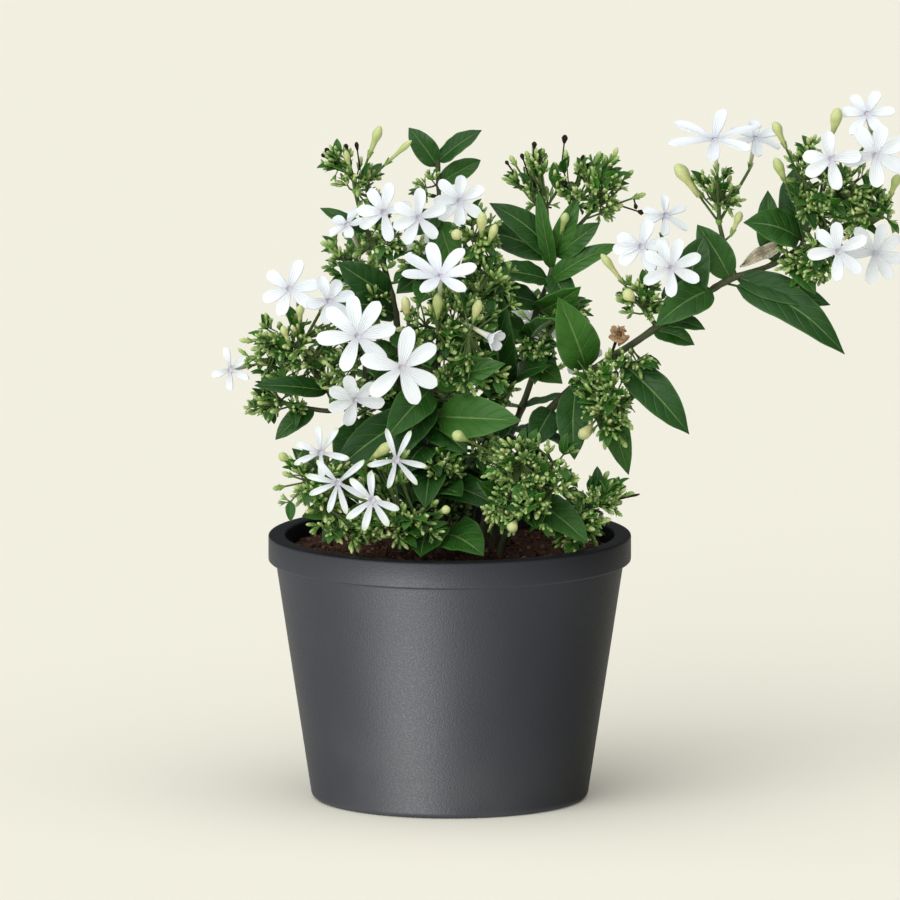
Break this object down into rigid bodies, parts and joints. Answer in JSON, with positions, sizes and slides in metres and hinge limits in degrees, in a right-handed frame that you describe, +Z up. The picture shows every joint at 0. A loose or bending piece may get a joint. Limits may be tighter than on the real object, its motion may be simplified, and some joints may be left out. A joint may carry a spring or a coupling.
{
  "type": "potted jasmine",
  "caption": "Flowering jasmine in a tapered round plastic pot, with leafy canes, clusters of green buds and white star-shaped blooms.",
  "frame": {"origin": "centre of the pot's foot, on the surface that it stands on", "axes": "+Z up along the pot's axis, -Y towards the plant's front, +X towards the long branch"},
  "size_m": [0.2867, 0.1626, 0.2963],
  "materials": {
    "pot": "satin",
    "soil": "matte",
    "foliage": "satin",
    "buds": "matte",
    "petals": "matte"
  },
  "bodies": {
    "root": {"pot": "pot", "soil": "soil", "cane_right": "foliage", "cane_centre": "foliage", "cane_crown": "foliage", "cane_middle": "foliage", "cane_upper_left": "foliage", "cane_mid_left": "foliage", "cane_low_right": "foliage", "cane_back_left": "foliage", "cane_back_right": "foliage", "spray_right_tip": "buds", "spray_right_upper": "buds", "spray_right_mid": "buds", "spray_right_low": "buds", "spray_centre_top": "buds", "spray_crown": "buds", "spray_middle": "buds", "spray_upper_left": "buds", "spray_top_left": "buds", "spray_left_mid": "buds", "spray_left_low": "buds", "spray_left_front": "buds", "spray_low_left": "buds", "spray_front": "buds", "spray_low_right": "buds", "spray_rim_right": "buds", "spray_back_left": "buds", "spray_back_right": "buds", "bloom_01": "petals", "bloom_02": "petals", "bloom_03": "petals", "bloom_04": "petals", "bloom_05": "petals", "bloom_06": "petals", "bloom_07": "petals", "bloom_08": "petals", "bloom_09": "petals", "bloom_10": "petals", "bloom_11": "petals", "bloom_12": "petals", "bloom_13": "petals", "bloom_14": "petals", "bloom_15": "petals", "bloom_16": "petals", "bloom_17": "petals", "bloom_18": "petals", "bloom_19": "petals", "bloom_20": "petals", "bloom_21": "petals", "bloom_22": "petals", "bloom_23": "petals", "bloom_24": "petals", "bloom_25": "petals", "bloom_26": "petals", "bloom_27": "petals", "bloom_28": "petals", "bloom_29": "petals", "bloom_30": "petals"}
  },
  "joints": []
}
